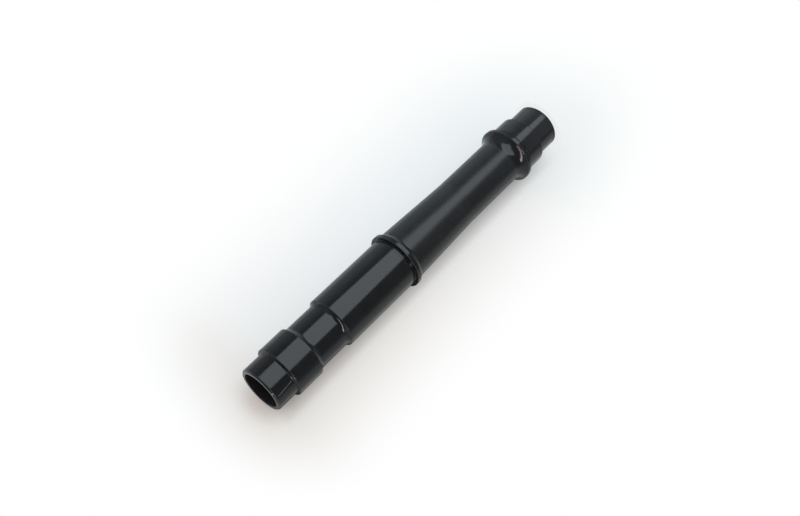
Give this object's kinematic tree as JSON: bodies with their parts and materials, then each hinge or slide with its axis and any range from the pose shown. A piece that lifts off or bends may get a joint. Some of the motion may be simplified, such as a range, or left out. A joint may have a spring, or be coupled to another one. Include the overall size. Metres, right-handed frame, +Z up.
{
  "type": "bicycle hub axle",
  "caption": "Hollow stepped axle of a bicycle rear hub, black anodised, with bearing seats, a collar, a flange, a tapered tube and end-cap stubs around a through bore.",
  "frame": {"origin": "centre of the lower end face, on which the axle stands", "axes": "+Z up along the axle's axis, from the flange end to the freehub end; X and Y are any two square directions across it"},
  "size_m": [0.0194, 0.0194, 0.1298],
  "materials": {
    "anodised": "black anodised, fine-turned seats and a satin tube"
  },
  "bodies": {
    "root": {"hub_axle": "anodised"}
  },
  "joints": []
}
